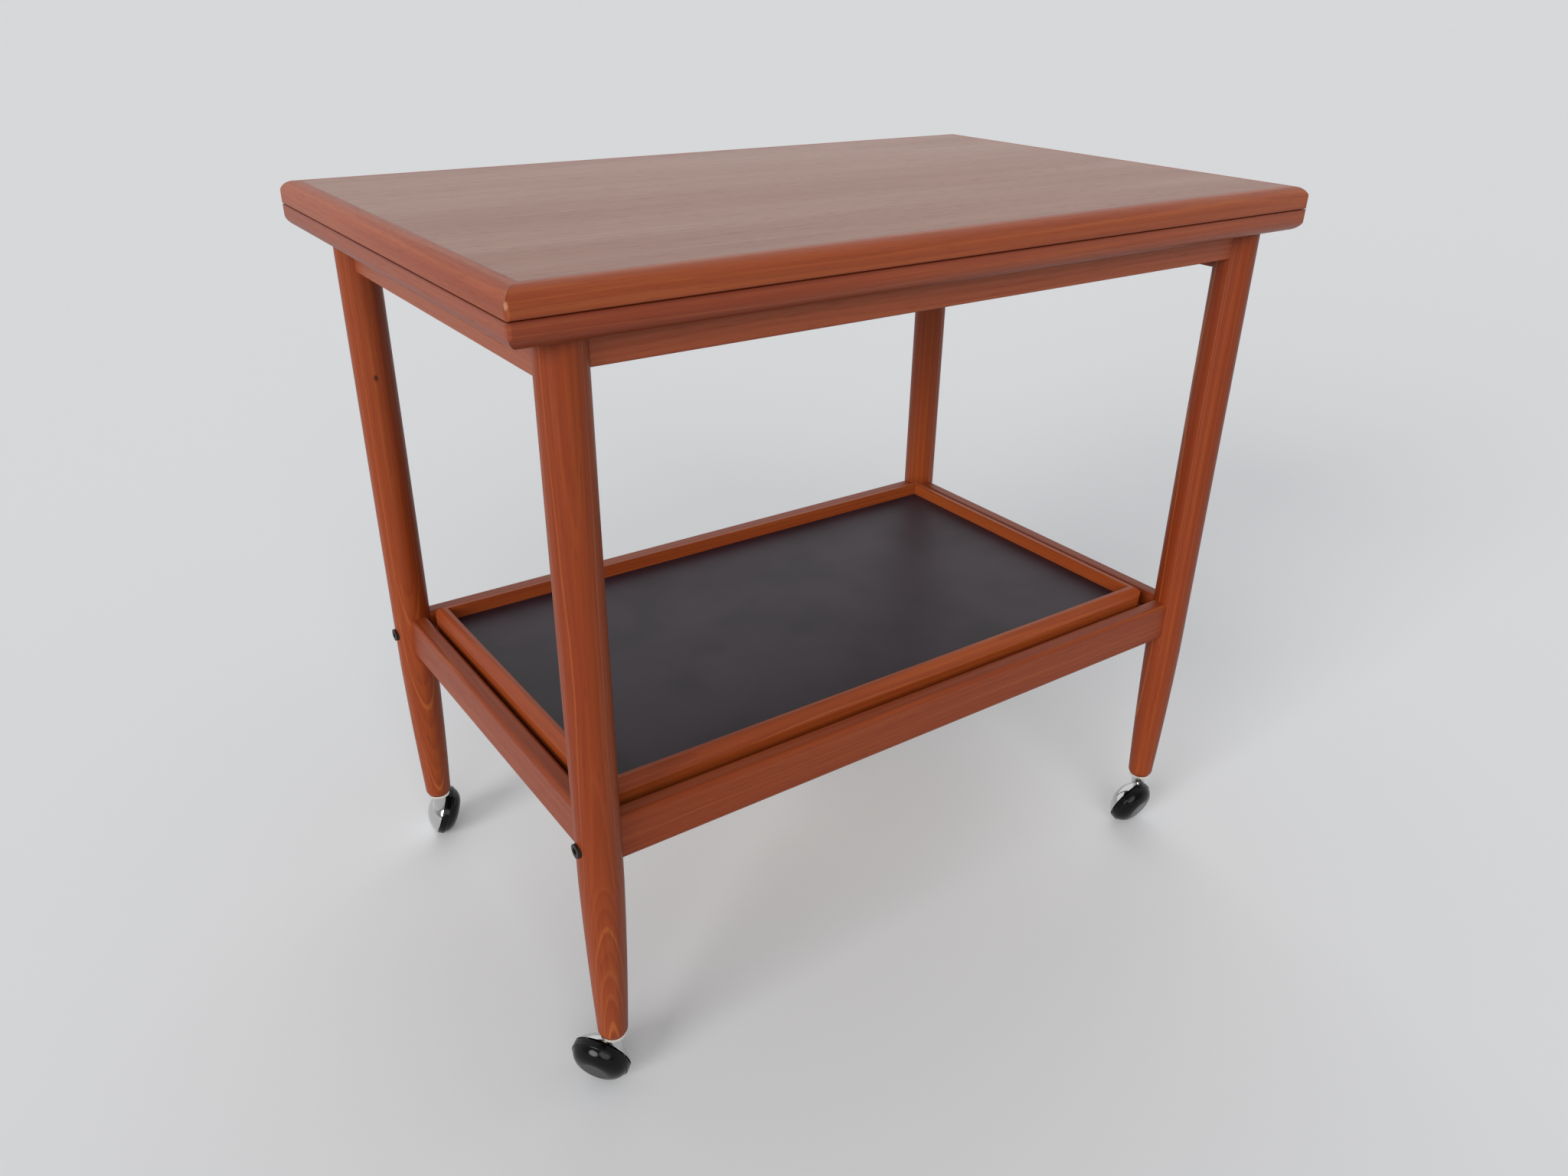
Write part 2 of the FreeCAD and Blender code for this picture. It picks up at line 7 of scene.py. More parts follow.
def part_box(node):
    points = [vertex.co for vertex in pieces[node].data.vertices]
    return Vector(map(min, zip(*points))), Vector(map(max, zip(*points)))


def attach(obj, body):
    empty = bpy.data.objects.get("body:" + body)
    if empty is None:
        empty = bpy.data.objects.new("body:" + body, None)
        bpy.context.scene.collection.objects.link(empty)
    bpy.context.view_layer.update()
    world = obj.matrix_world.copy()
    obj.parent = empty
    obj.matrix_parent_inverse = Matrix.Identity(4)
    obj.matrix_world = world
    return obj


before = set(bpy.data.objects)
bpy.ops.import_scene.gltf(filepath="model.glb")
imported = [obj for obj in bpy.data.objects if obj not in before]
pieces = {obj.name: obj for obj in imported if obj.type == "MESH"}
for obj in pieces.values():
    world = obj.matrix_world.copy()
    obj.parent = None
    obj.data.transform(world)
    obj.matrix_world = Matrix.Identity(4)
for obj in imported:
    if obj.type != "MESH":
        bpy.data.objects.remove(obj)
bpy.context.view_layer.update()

corners = ("front_left", "front_right", "back_left", "back_right")
barGrain = {"front": "X", "back": "X", "left": "Y", "right": "Y"}  # the grain runs along each bar
print("frame loaded with", len(pieces), "pieces")


def screenColour(red, green, blue):  # 0 to 255, as read off a screen
    def linear(value):
        part = value / 255
        return part / 12.92 if part <= 0.04045 else ((part + 0.055) / 1.055) ** 2.4
    return (linear(red), linear(green), linear(blue), 1.0)


class Link:  # a socket that takes part in Python sums
    def __init__(self, nodes, socket):
        self.nodes = nodes
        self.socket = socket

    def math(self, operation, other=0.0, swapped=False):
        terms = {0: other, 1: self} if swapped else {0: self, 1: other}
        return self.nodes.add("ShaderNodeMath", {"operation": operation}, terms)

    def __add__(self, other):
        return self.math("ADD", other)

    def __sub__(self, other):
        return self.math("SUBTRACT", other)

    def __rsub__(self, other):
        return self.math("SUBTRACT", other, True)

    def __mul__(self, other):
        return self.math("MULTIPLY", other)

    def __truediv__(self, other):
        return self.math("DIVIDE", other)

    def __pow__(self, other):
        return self.math("POWER", other)

    __radd__ = __add__
    __rmul__ = __mul__


class Nodes:  # a node tree that is filled from Python
    def __init__(self, tree):
        self.tree = tree

    def add(self, kind, settings=None, inputs=None, output=0):
        node = self.tree.nodes.new(kind)
        for key, value in (settings or {}).items():
            setattr(node, key, value)
        for key, value in (inputs or {}).items():
            self.feed(node.inputs[key], value)
        return Link(self, node.outputs[output]) if node.outputs else node

    def feed(self, socket, value):
        if isinstance(value, Link):
            self.tree.links.new(value.socket, socket)
        else:
            socket.default_value = value

    def mixed(self, factor, first, second):  # the numbers are the node's colour sockets
        return self.add("ShaderNodeMix", {"data_type": "RGBA"}, {0: factor, 6: first, 7: second}, 2)

    def ramp(self, value, low, high):  # smooth step from 0 at low to 1 at high
        inputs = {"Value": value, "From Min": low, "From Max": high}
        return self.add("ShaderNodeMapRange", {"interpolation_type": "SMOOTHSTEP"}, inputs)

    def vector(self, operation, *terms, output="Vector"):
        return self.add("ShaderNodeVectorMath", {"operation": operation}, dict(enumerate(terms)), output)

    def part(self, vector, axis):
        return self.add("ShaderNodeSeparateXYZ", None, {0: vector}, "XYZ".index(axis))

    def seenDirectly(self):  # 1 for the camera and in shiny pieces
        paths = [self.add("ShaderNodeLightPath", output=name + " Ray")
                 for name in ("Is Camera", "Is Glossy", "Is Transmission")]
        return (paths[0] + paths[1] + paths[2]).math("MINIMUM", 1.0)


class Finish(Nodes):  # one material
    def __init__(self, name):
        self.material = bpy.data.materials.new(name)
        self.material.use_nodes = True
        super().__init__(self.material.node_tree)
        self.shader = self.tree.nodes["Principled BSDF"]

    def set(self, **values):  # constants and links straight into the shader
        for key, value in values.items():
            self.feed(self.shader.inputs[shaderSockets[key]], value)

    def place(self):
        return self.add("ShaderNodeTexCoord", output="Object")

    def noise(self, vector, along, across, detail, roughness=0.5):  # long in X
        scaled = self.vector("MULTIPLY", vector, (along, across, across))
        inputs = {"Vector": scaled, "Scale": 1.0, "Detail": detail, "Roughness": roughness}
        return self.add("ShaderNodeTexNoise", None, inputs)


shaderSockets = {
    "baseColour": "Base Color",
    "roughness": "Roughness",
    "metallic": "Metallic",
    "specular": "Specular IOR Level",
    "normal": "Normal",
}

# turns that bring the direction of the grain to X
grainTurns = {
    "X": (0.0, 0.0, 0.0),
    "Y": (0.0, 0.0, -math.pi / 2),
    "Z": (0.0, math.pi / 2, 0.0),
}

# changes per metre along and across the grain, then how finely they break up
grainNoise = {
    "wander": (2.4, 16.0, 1.0),
    "shiver": (14.0, 60.0, 1.0),
    "broad": (1.6, 22.0, 1.5),
    "streaks": (5.0, 330.0, 3.0, 0.6),
    "pores": (60.0, 1500.0, 1.0),
}

# where each part of the figure starts and where it is full
grainSteps = {
    "broad": (0.30, 0.70),
    "band": (0.75, 0.0),
    "darkStreaks": (0.46, 0.70),
    "lightStreaks": (0.50, 0.30),
    "pores": (0.58, 0.72),
}

# every piece is cut from another place in the wood
seeds = count(1)
seedSteps = (0.731, 0.413, 0.297)


def turnedToGrain(point, grainAxis):
    if grainAxis == "X":
        return Vector(point)
    if grainAxis == "Y":
        return Vector((point[1], -point[0], point[2]))
    return Vector((point[2], point[1], -point[0]))


def woodFinish(node, look, grainAxis, marks):
    finish = Finish(node + " wood")
    seed = next(seeds)
    raw = finish.place()
    low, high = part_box(node)
    middle = turnedToGrain((low + high) / 2, grainAxis)
    wood = finish.add("ShaderNodeMapping", None,
                      {"Vector": raw, "Location": -middle, "Rotation": grainTurns[grainAxis]})
    seeded = finish.vector("ADD", wood, [step * seed for step in seedSteps])

    def noise(name):
        return finish.noise(seeded, *grainNoise[name])

    def step(name, value):
        return finish.ramp(value, *grainSteps[name])

    # growth rings round a heart that lies beside the piece
    heart = turnedToGrain(look["heart"], grainAxis)
    fromHeartY = finish.part(wood, "Y") - heart.y
    fromHeartZ = finish.part(wood, "Z") - heart.z
    distance = (fromHeartY * fromHeartY + fromHeartZ * fromHeartZ) ** 0.5
    for name in ("wander", "shiver"):
        distance = distance + (noise(name) - 0.5) * look[name]
    if look["archSlope"]:  # the rings run out at the tapered end
        along = finish.part(wood, "X") + (middle.x - look["archHeight"])
        distance = distance + along.math("MINIMUM", 0.0) * look["archSlope"]
    rings = distance / look["ringSpacing"]
    band = rings.math("FRACT")
    number = (rings + 0.5).math("FLOOR")
    unlike = finish.add("ShaderNodeTexWhiteNoise", {"noise_dimensions": "1D"}, {"W": number + seed}, "Value")
    edge = (band - 0.5).math("ABSOLUTE")
    lineCore = look["lineWidth"] * look["coreShare"]
    line = finish.ramp(edge, 0.5 - look["lineWidth"], 0.5 - lineCore) * unlike * unlike

    broad = noise("broad")
    streaks = noise("streaks")
    pores = step("pores", noise("pores"))

    tone = finish.mixed(step("broad", broad), look["light"], look["middle"])
    layers = (
        ("dark", step("band", band) * look["bandDepth"]),
        ("line", line * look["lineDepth"]),
        ("dark", step("darkStreaks", streaks) * look["streakDepth"]),
        ("line", step("lightStreaks", streaks) * look["streakDepth"] * look["lightShare"]),
        ("pore", pores * look["poreDepth"]),
    )
    for colour, amount in layers:
        tone = finish.mixed(amount, tone, look[colour])
    for mark in marks:
        tone = mark(finish, raw, tone)
    bump = finish.add("ShaderNodeBump", None,
                      {"Height": 1 - pores, "Strength": look["bump"], "Distance": look["poreSink"]})
    roughness = look["roughness"] + pores * look["poreRoughness"] + (broad - 0.5) * look["unevenness"]
    if "dullness" in look:  # an underside without oil
        dullBelow = low.z + look["dullHeight"]
        underneath = finish.ramp(finish.part(raw, "Z"), dullBelow, dullBelow - look["dullFade"])
        roughness = roughness + underneath * look["dullness"]
    finish.set(baseColour=tone, roughness=roughness, normal=bump, specular=look["specular"])
    return finish.material


def plainFinish(name, look):
    finish = Finish(name)
    cloud = finish.noise(finish.place(), look["spots"], look["spots"], look["detail"])
    tone = look["colour"]
    if "tarnish" in look:
        tone = finish.mixed(finish.ramp(cloud, *look["tarnishSteps"]), tone, look["tarnish"])
    roughness = look["roughness"] + (cloud - 0.5) * look["wear"]
    finish.set(baseColour=tone, roughness=roughness, metallic=look["metallic"], specular=look["specular"])
    return finish.material


def dress(node, material):
    piece = pieces[node]
    piece.data.materials.clear()
    piece.data.materials.append(material)


def dressInWood(node, look, grainAxis, marks=()):
    dress(node, woodFinish(node, look, grainAxis, marks))


# the oiled teak, as seen on legs, rails, lippings and tray rim
teak = {
    "light": screenColour(164, 80, 33),
    "middle": screenColour(146, 62, 22),
    "dark": screenColour(116, 41, 13),
    "line": screenColour(190, 110, 56),
    "pore": screenColour(84, 30, 11),
    "heart": (0.05, 0.09, -0.10),
    "ringSpacing": 0.0034,
    "wander": 0.011,
    "shiver": 0.0010,
    "archHeight": 0.0,
    "archSlope": 0.0,
    "bandDepth": 0.55,
    "lineWidth": 0.16,
    "coreShare": 0.2,
    "lineDepth": 0.55,
    "streakDepth": 0.22,
    "lightShare": 0.6,
    "poreDepth": 0.22,
    "poreSink": 0.0002,
    "poreRoughness": 0.10,
    "bump": 0.06,
    "roughness": 0.42,
    "unevenness": 0.12,
    "specular": 0.36,
}

# where the heart lies beside each leg, and how the rings run out towards its foot
legFigures = {
    "front_left": {"heart": (0.037, 0.082, 0.0), "archHeight": 0.215, "archSlope": -0.095},
    "front_right": {"heart": (0.068, -0.042, 0.0), "archHeight": 0.120, "archSlope": -0.03},
    "back_left": {"heart": (0.010, 0.085, 0.0), "archHeight": 0.300, "archSlope": 0.04},
    "back_right": {"heart": (-0.050, 0.060, 0.0), "archHeight": 0.200, "archSlope": -0.08},
}
legLook = dict(
    teak,
    light=screenColour(146, 65, 25),
    middle=screenColour(129, 50, 16),
    line=screenColour(176, 97, 46),
    ringSpacing=0.0016,
    bandDepth=0.38,
    lineWidth=0.22,
    lineDepth=0.72,
    specular=0.26,
)
# lighter than plain teak: painted light that makes up for the shadow the top casts on the aprons
apronLitLook = dict(
    teak,
    light=screenColour(162, 82, 48),
    middle=screenColour(149, 69, 39),
    bandDepth=0.25,
    lineDepth=0.3,
)
railLook = dict(
    teak,
    light=screenColour(145, 65, 27),
    middle=screenColour(131, 53, 20),
    bandDepth=0.25,
    lineDepth=0.3,
    specular=0.28,
)
upperLippingLook = dict(
    teak,
    light=screenColour(158, 76, 33),
    bandDepth=0.25,
    lineDepth=0.25,
    specular=0.42,
)
lowerLippingLook = dict(
    upperLippingLook,
    light=screenColour(152, 70, 34),
    middle=screenColour(138, 57, 25),
)
trayLook = dict(
    teak,
    light=screenColour(162, 77, 30),
    middle=screenColour(145, 62, 23),
    bandDepth=0.30,
    lineDepth=0.30,
)
veneerLook = dict(
    teak,
    light=screenColour(152, 102, 78),
    middle=screenColour(144, 92, 69),
    dark=screenColour(110, 62, 42),
    line=screenColour(162, 114, 88),
    pore=screenColour(84, 46, 30),
    heart=(0.0, 0.30, -0.25),
    ringSpacing=0.0042,
    bandDepth=0.28,
    lineDepth=0.22,
    streakDepth=0.40,
    poreDepth=0.38,
    roughness=0.40,
    specular=0.68,
)
lowerVeneerLook = dict(
    veneerLook,
    specular=0.4,
    dullHeight=0.002,
    dullFade=0.001,
    dullness=0.45,
)


def beyond(finish, raw, reach):  # how far a point lies outside an upright box round the origin
    overX = finish.part(raw, "X").math("ABSOLUTE") - reach.x
    overY = finish.part(raw, "Y").math("ABSOLUTE") - reach.y
    return overX.math("MAXIMUM", overY)


panelLine = {"width": 0.0005, "fade": 0.0002, "depth": 0.6, "colour": screenColour(84, 44, 28)}


def panelEdge(node):  # thin glue line where the veneer meets its lippings
    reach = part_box(node)[1]

    def mark(finish, raw, tone):
        inside = beyond(finish, raw, reach) + panelLine["width"]
        nearEdge = finish.ramp(inside, -panelLine["fade"], panelLine["fade"])
        return finish.mixed(nearEdge * panelLine["depth"], tone, panelLine["colour"])
    return mark


mitreLine = {"width": 0.0007, "depth": 0.55, "colour": screenColour(76, 30, 16)}


def mitreMark(middleX, middleY, longer):
    def mark(finish, raw, tone):
        fromX = (finish.part(raw, "X") - middleX).math("ABSOLUTE")
        fromY = (finish.part(raw, "Y") - middleY).math("ABSOLUTE")
        away = (fromX - fromY - longer).math("ABSOLUTE")
        nearMitre = finish.ramp(away, mitreLine["width"], 0.0)
        return finish.mixed(nearMitre * mitreLine["depth"], tone, mitreLine["colour"])
    return mark


def frameMitres(stem):  # the four bars share one middle and one difference of lengths
    boxes = [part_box(stem + side) for side in barGrain]
    lowX, highX = min(low.x for low, high in boxes), max(high.x for low, high in boxes)
    lowY, highY = min(low.y for low, high in boxes), max(high.y for low, high in boxes)
    return mitreMark((lowX + highX) / 2, (lowY + highY) / 2, (highX - lowX - highY + lowY) / 2)


# painted shade: a dark band on both leaves next to the line where they meet
jointShading = {
    "height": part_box("lower_leaf_panel")[1].z,
    "reach": Vector((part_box("lower_leaf_lipping_right")[1].x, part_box("lower_leaf_lipping_back")[1].y, 0.0)),
    "width": 0.0020,
    "depth": 0.65,
    "colour": screenColour(92, 30, 14),
}


def jointShadeMark(finish, raw, tone):  # painted shade along the outer line where the leaves meet
    away = (finish.part(raw, "Z") - jointShading["height"]).math("ABSOLUTE")
    outside = finish.ramp(beyond(finish, raw, jointShading["reach"]), -jointShading["width"], 0.0)
    paintedShade = finish.ramp(away, jointShading["width"], 0.0) * outside * jointShading["depth"]
    return finish.mixed(paintedShade, tone, jointShading["colour"])


spotEdge = {"fineness": 900.0, "detail": 2.0, "raggedness": 0.7, "core": 0.4}


def spotMark(spot):  # one small stain or nick
    def mark(finish, raw, tone):
        fromSpot = finish.vector("SUBTRACT", raw, spot["from"] + spot["offset"])
        away = finish.vector("LENGTH", finish.vector("DIVIDE", fromSpot, spot["size"]), output="Value")
        uneven = finish.noise(raw, spotEdge["fineness"], spotEdge["fineness"], spotEdge["detail"]) - 0.5
        cover = finish.ramp(away + uneven * spotEdge["raggedness"], 1.0, spotEdge["core"])
        return finish.mixed(cover * spot["depth"], tone, spot["colour"])
    return mark


legLow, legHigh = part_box("leg_back_left")
legStain = {
    "from": Vector(((legLow.x + legHigh.x) / 2, (legLow.y + legHigh.y) / 2, 0.0)),  # on the leg's axis
    "offset": Vector((-0.0039, -0.01603, 0.4850)),
    "size": (0.0024, 0.0024, 0.0038),
    "depth": 0.8,
    "colour": screenColour(34, 14, 9),
}
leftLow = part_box("upper_leaf_lipping_left")[0]
frontLow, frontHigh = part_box("upper_leaf_lipping_front")
cornerNick = {
    "from": Vector((leftLow.x, frontLow.y, frontHigh.z)),  # where the sharp corner would be
    "offset": Vector((0.0010, 0.0010, -0.0086)),
    "size": (0.0016, 0.0016, 0.0032),
    "depth": 0.45,
    "colour": screenColour(214, 168, 128),
}

for corner in corners:
    marks = [spotMark(legStain)] if corner == "back_left" else []
    dressInWood("leg_" + corner, dict(legLook, **legFigures[corner]), "Z", marks)

upperMarks = [frameMitres("upper_leaf_lipping_"), jointShadeMark, spotMark(cornerNick)]
lowerMarks = [frameMitres("lower_leaf_lipping_"), jointShadeMark]
barFrames = (
    ("apron_", apronLitLook, []),
    ("lower_rail_", railLook, []),
    ("upper_leaf_lipping_", upperLippingLook, upperMarks),
    ("lower_leaf_lipping_", lowerLippingLook, lowerMarks),
    ("tray_rim_", trayLook, [frameMitres("tray_rim_")]),
)
for stem, look, marks in barFrames:
    for side, axis in barGrain.items():
        dressInWood(stem + side, look, axis, marks)
for node, look in (("upper_leaf_panel", veneerLook), ("lower_leaf_panel", lowerVeneerLook)):
    dressInWood(node, look, "X", [panelEdge(node)])
print("teak pieces finished")

plainWood = dict(
    teak,
    light=screenColour(186, 148, 104),
    middle=screenColour(172, 132, 90),
    dark=screenColour(146, 106, 70),
    line=screenColour(200, 164, 120),
    pore=screenColour(120, 86, 54),
    roughness=0.6,
)
for node, axis in (("pivot_rail", "Y"), ("tray_board", "X")):
    dressInWood(node, plainWood, axis)
bearerLook = dict(teak, light=screenColour(128, 72, 42), middle=screenColour(112, 58, 32))
for side, axis in barGrain.items():
    dressInWood("tray_bearer_" + side, bearerLook, axis)

# what the metal, the wheels and the tray facing have in common
plainLook = {
    "metallic": 0.0,
    "specular": 0.5,
    "spots": 60.0,
    "detail": 3.0,
    "wear": 0.06,
    "tarnishSteps": (0.40, 0.66),
}
trayFacing = dict(
    plainLook,
    colour=screenColour(39, 26, 38),
    tarnish=screenColour(33, 22, 32),
    roughness=0.46,
    wear=0.10,
    spots=18.0,
    specular=0.36,
)
wheelBlack = dict(plainLook, colour=screenColour(7, 7, 9), roughness=0.15, wear=0.05, specular=0.22)
hoodChrome = dict(plainLook, colour=screenColour(206, 206, 206), roughness=0.10, metallic=1.0, wear=0.05)
collarNickel = dict(plainLook, colour=screenColour(246, 238, 226), roughness=0.28, metallic=1.0)
plainSteel = dict(
    plainLook,
    colour=screenColour(176, 176, 174),
    tarnish=screenColour(146, 143, 138),
    roughness=0.36,
    metallic=1.0,
    wear=0.1,
)
darkSteel = dict(plainLook, colour=screenColour(46, 40, 38), roughness=0.45, metallic=0.7)
hingeBrass = dict(
    plainLook,
    colour=screenColour(180, 144, 90),
    tarnish=screenColour(164, 127, 76),
    roughness=0.34,
    metallic=1.0,
    wear=0.16,
    spots=140.0,
)

facingFinish = plainFinish("tray facing", trayFacing)
wheelFinish = plainFinish("wheel black", wheelBlack)
chromeFinish = plainFinish("hood chrome", hoodChrome)
nickelFinish = plainFinish("collar nickel", collarNickel)
steelFinish = plainFinish("plain steel", plainSteel)
darkFinish = plainFinish("blackened steel", darkSteel)
brassFinish = plainFinish("hinge brass", hingeBrass)

for corner in corners:
    dress("castor_wheel_" + corner, wheelFinish)
    dress("castor_hood_" + corner, chromeFinish)
    dress("castor_stem_" + corner, steelFinish)
    dress("castor_axle_" + corner, steelFinish)
dress("tray_facing", facingFinish)
dress("castor_sockets", nickelFinish)
dress("frame_bolts", darkFinish)
for node in ("barrel_nuts", "pivot_plate", "pivot_bolt", "pivot_washer", "pivot_nut"):
    dress(node, steelFinish)
for node in ("hinge_plates_lower", "hinge_plates_upper", "hinge_pins"):
    dress(node, brassFinish)
print("fittings finished")

screwShape = {"facets": 24, "slotLength": 1.3, "slotLift": 0.55}


# slotted screw heads, one tree for all of them
def screwTree():
    tree = bpy.data.node_groups.new("slotted screws", "GeometryNodeTree")
    kinds = {
        "Geometry": "Geometry",
        "Head Width": "Float",
        "Head Height": "Float",
        "Slot Width": "Float",
        "Facing": "Vector",
        "Slot Turn": "Float",
        "Finish": "Material",
    }
    for name, kind in kinds.items():
        tree.interface.new_socket(name, in_out="INPUT", socket_type="NodeSocket" + kind)
    tree.interface.new_socket("Geometry", in_out="OUTPUT", socket_type="NodeSocketGeometry")
    nodes = Nodes(tree)
    sockets = tree.nodes.new("NodeGroupInput").outputs
    given = {name: Link(nodes, sockets[name]) for name in kinds}
    width, height = given["Head Width"], given["Head Height"]
    head = nodes.add("GeometryNodeMeshCylinder", None,
                     {"Vertices": screwShape["facets"], "Radius": width * 0.5, "Depth": height})
    slotSize = nodes.add("ShaderNodeCombineXYZ", None,
                         {0: width * screwShape["slotLength"], 1: given["Slot Width"], 2: height})
    slotLift = nodes.add("ShaderNodeCombineXYZ", None, {2: height * screwShape["slotLift"]})
    slot = nodes.add("GeometryNodeMeshCube", None, {"Size": slotSize})
    slot = nodes.add("GeometryNodeTransform", None, {"Geometry": slot, "Translation": slotLift})
    screw = nodes.add("GeometryNodeMeshBoolean", {"operation": "DIFFERENCE"},
                      {"Mesh 1": head, "Mesh 2": slot})
    aim = nodes.add("FunctionNodeAlignRotationToVector", {"axis": "Z"}, {"Vector": given["Facing"]})
    spin = nodes.add("ShaderNodeCombineXYZ", None,
                     {2: nodes.add("GeometryNodeInputIndex") * given["Slot Turn"]})
    turn = nodes.add("FunctionNodeRotateRotation", {"rotation_space": "LOCAL"},
                     {"Rotation": aim, "Rotate By": spin})
    rows = nodes.add("GeometryNodeInstanceOnPoints", None,
                     {"Points": given["Geometry"], "Instance": screw, "Rotation": turn})
    real = nodes.add("GeometryNodeRealizeInstances", None, {"Geometry": rows})
    done = nodes.add("GeometryNodeSetMaterial", None, {"Geometry": real, "Material": given["Finish"]})
    nodes.add("NodeGroupOutput", None, {"Geometry": done})
    return tree


screws = screwTree()


def plantScrews(name, places, facing, look, body):
    mesh = bpy.data.meshes.new(name + " places")
    mesh.from_pydata(places, [], [])
    holder = bpy.data.objects.new(name + " places", mesh)
    bpy.context.scene.collection.objects.link(holder)
    modifier = holder.modifiers.new("screws", "NODES")
    modifier.node_group = screws
    values = {
        "Head Width": look["width"],
        "Head Height": look["height"],
        "Slot Width": look["slot"],
        "Facing": facing,
        "Slot Turn": look["turn"],
        "Finish": look["finish"],
    }
    for item in screws.interface.items_tree:
        if item.in_out == "INPUT" and item.name in values:
            modifier[item.identifier] = values[item.name]
    graph = bpy.context.evaluated_depsgraph_get()
    baked = bpy.data.meshes.new_from_object(holder.evaluated_get(graph))
    holder.modifiers.clear()
    bpy.data.objects.remove(holder)
    piece = bpy.data.objects.new(name, baked)
    bpy.context.scene.collection.objects.link(piece)
    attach(piece, body)


# sunk is how much of its height the middle of a head lies behind the face
hingeScrew = {
    "width": 0.0052,
    "height": 0.0012,
    "slot": 0.0011,
    "turn": 0.9,
    "sunk": 0.25,
    "fromMiddle": 0.017,
    "fromEdge": 0.0045,
    "finish": brassFinish,
    "slotName": "brass",
}
hingePlate = {"length": 0.050, "thickness": 0.0014}
pinsLow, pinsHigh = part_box("hinge_pins")
hingeMiddles = (pinsLow.x + hingePlate["length"] / 2, 0.0, pinsHigh.x - hingePlate["length"] / 2)
for leaf in ("lower", "upper"):
    low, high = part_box("hinge_plates_" + leaf)
    level = low.z + hingeScrew["fromEdge"] if leaf == "lower" else high.z - hingeScrew["fromEdge"]
    depth = low.y + hingePlate["thickness"] - hingeScrew["height"] * hingeScrew["sunk"]
    places = [(middle + way * hingeScrew["fromMiddle"], depth, level)
              for middle in hingeMiddles for way in (-1, 1)]
    plantScrews("hinge_screws_" + leaf, places, (0, 1, 0), hingeScrew, leaf + "_leaf")

plateScrew = {
    "width": 0.0072,
    "height": 0.0012,
    "slot": 0.0011,
    "turn": 1.3,
    "sunk": 0.42,
    "fromEdge": 0.010,
    "finish": steelFinish,
    "slotName": "steel",
}
plateLow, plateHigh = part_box("pivot_plate")
inset = plateScrew["fromEdge"]
level = plateLow.z + plateScrew["height"] * plateScrew["sunk"]
places = [(x, y, level)
          for x in (plateLow.x + inset, plateHigh.x - inset)
          for y in (plateLow.y + inset, plateHigh.y - inset)]
plantScrews("pivot_plate_screws", places, (0, 0, -1), plateScrew, "lower_leaf")

bearerScrew = {
    "width": 0.0066,
    "height": 0.0012,
    "slot": 0.0010,
    "turn": 0.7,
    "sunk": 0.35,
    "count": 4,
    "fromEnd": 0.05,
    "finish": steelFinish,
    "slotName": "steel",
}
for side, way in (("front", 1), ("back", -1)):
    low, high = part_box("tray_bearer_" + side)
    inner = high.y if side == "front" else low.y
    depth = inner - way * bearerScrew["height"] * bearerScrew["sunk"]
    first, last = low.x + bearerScrew["fromEnd"], high.x - bearerScrew["fromEnd"]
    steps = bearerScrew["count"] - 1
    places = [(first + (last - first) * step / steps, depth, (low.z + high.z) / 2)
              for step in range(bearerScrew["count"])]
    plantScrews("bearer_screws_" + side, places, (0, way, 0), bearerScrew, "frame")
print("screws planted")

# floor, light and camera
floorLook = {"size": 60.0, "seen": screenColour(239, 240, 242), "bounce": screenColour(170, 172, 175)}
half = floorLook["size"] / 2
floorCorners = [(-half, -half, 0), (half, -half, 0), (half, half, 0), (-half, half, 0)]
floorMesh = bpy.data.meshes.new("floor")
floorMesh.from_pydata(floorCorners, [], [(0, 1, 2, 3)])
floor = bpy.data.objects.new("floor", floorMesh)
bpy.context.scene.collection.objects.link(floor)
floorFinish = Finish("pale floor")
floorTone = floorFinish.mixed(floorFinish.seenDirectly(), floorLook["bounce"], floorLook["seen"])
floorFinish.set(baseColour=floorTone, roughness=1.0, specular=0.0)
floorMesh.materials.append(floorFinish.material)

lightLooks = {
    "window": {
        "towards": (0.90, 0.30, -0.32),
        "strength": 1.9,
        "softness": 30.0,
        "colour": (1.0, 0.985, 0.96),
        "mirrored": True,
    },
    "front lamp": {
        "towards": (0.40, 0.82, -0.42),
        "strength": 1.0,
        "softness": 40.0,
        "colour": (1.0, 0.98, 0.95),
        "mirrored": True,
    },
    "back lamp": {
        "towards": (-0.50, -0.70, -0.50),
        "strength": 0.6,
        "softness": 60.0,
        "colour": (1.0, 1.0, 1.0),
        "mirrored": False,
    },
}
for name, look in lightLooks.items():
    lamp = bpy.data.lights.new(name, "SUN")
    lamp.energy = look["strength"]
    lamp.angle = math.radians(look["softness"])
    lamp.color = look["colour"]
    stand = bpy.data.objects.new(name, lamp)
    stand.visible_glossy = look["mirrored"]
    stand.rotation_euler = Vector(look["towards"]).to_track_quat("-Z", "Y").to_euler()
    bpy.context.scene.collection.objects.link(stand)

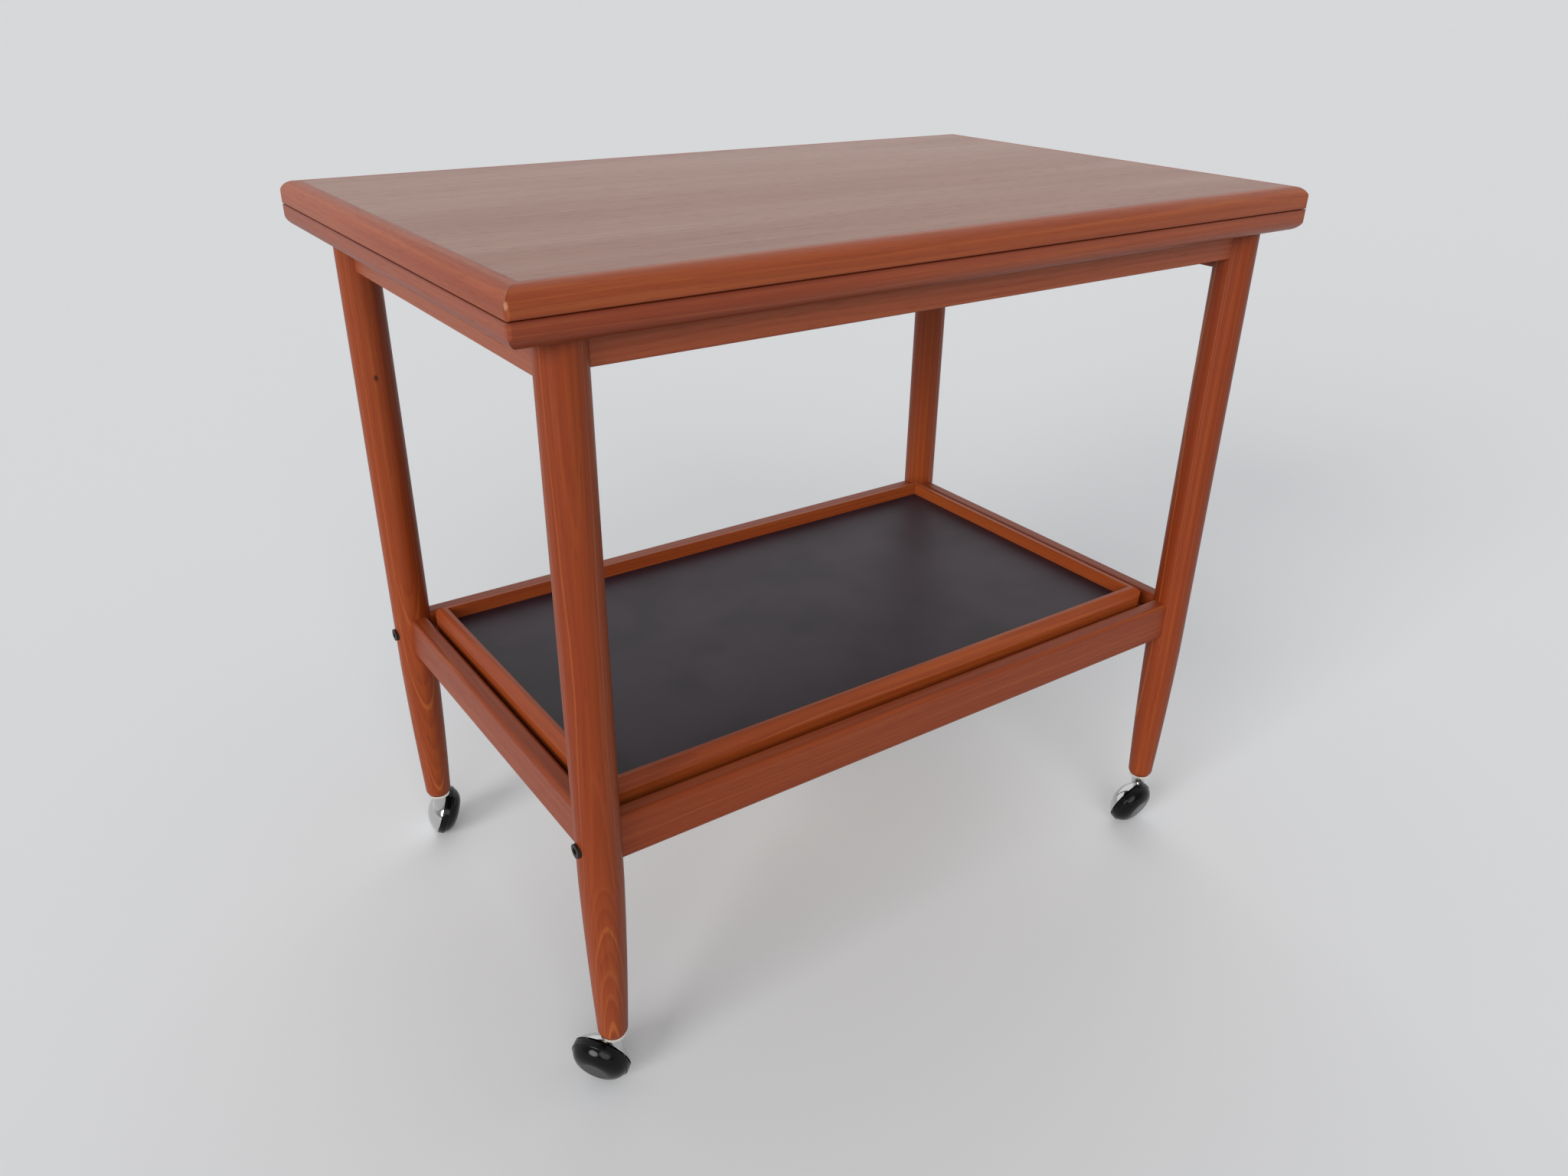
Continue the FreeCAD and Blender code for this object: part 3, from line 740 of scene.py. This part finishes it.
# the camera and shiny pieces see a pale backdrop, the rest gets the soft light of the room
worldLook = {
    "light": (0.94, 0.97, 1.0),
    "lightStrength": 0.38,
    "backdrop": screenColour(214, 216, 218),
    "mirroredFar": screenColour(240, 241, 242),
    "mirroredNear": screenColour(120, 122, 126),
    "far": (0.583, 0.812, 0.0),
    "farSteps": (-0.8, 0.5),
}
world = bpy.data.worlds.new("studio")
world.use_nodes = True
room = Nodes(world.node_tree)
fromCamera = room.add("ShaderNodeLightPath", output="Is Camera Ray")
outward = room.add("ShaderNodeTexCoord", output="Generated")
farSide = room.ramp(room.vector("DOT_PRODUCT", outward, worldLook["far"], output="Value"),
                    *worldLook["farSteps"])
shiny = room.mixed(farSide, worldLook["mirroredNear"], worldLook["mirroredFar"])
seen = room.mixed(fromCamera, shiny, worldLook["backdrop"])
softLight = [part * worldLook["lightStrength"] for part in worldLook["light"]] + [1.0]
background = world.node_tree.nodes["Background"]
room.feed(background.inputs["Color"], room.mixed(room.seenDirectly(), softLight, seen))
background.inputs["Strength"].default_value = 1.0
bpy.context.scene.world = world

cameraLook = {
    "at": (-0.5860, -0.8070, 0.7794),
    "heading": 35.66,  # degrees from +Y towards +X
    "down": 28.11,
    "lean": 0.97,
    "lens": 27.34,
    "sensor": 36.0,
    "nearest": 0.01,
    "shift": (-0.00597, 0.01801),
}
heading, down, lean = (math.radians(cameraLook[key]) for key in ("heading", "down", "lean"))
ahead = Vector((math.sin(heading) * math.cos(down), math.cos(heading) * math.cos(down), -math.sin(down)))
level = Vector((math.cos(heading), -math.sin(heading), 0.0))
upright = level.cross(ahead)
rightward = level * math.cos(lean) + upright * math.sin(lean)
upward = upright * math.cos(lean) - level * math.sin(lean)
lens = bpy.data.cameras.new("photo camera")
lens.sensor_width = cameraLook["sensor"]
lens.lens = cameraLook["lens"]
lens.shift_x, lens.shift_y = cameraLook["shift"]
lens.clip_start = cameraLook["nearest"]
camera = bpy.data.objects.new("photo camera", lens)
turn = Matrix((rightward, upward, -ahead)).transposed().to_4x4()
camera.matrix_world = Matrix.Translation(cameraLook["at"]) @ turn
bpy.context.scene.collection.objects.link(camera)
bpy.context.scene.camera = camera
bpy.context.scene.view_settings.view_transform = "Standard"
print("stage set")
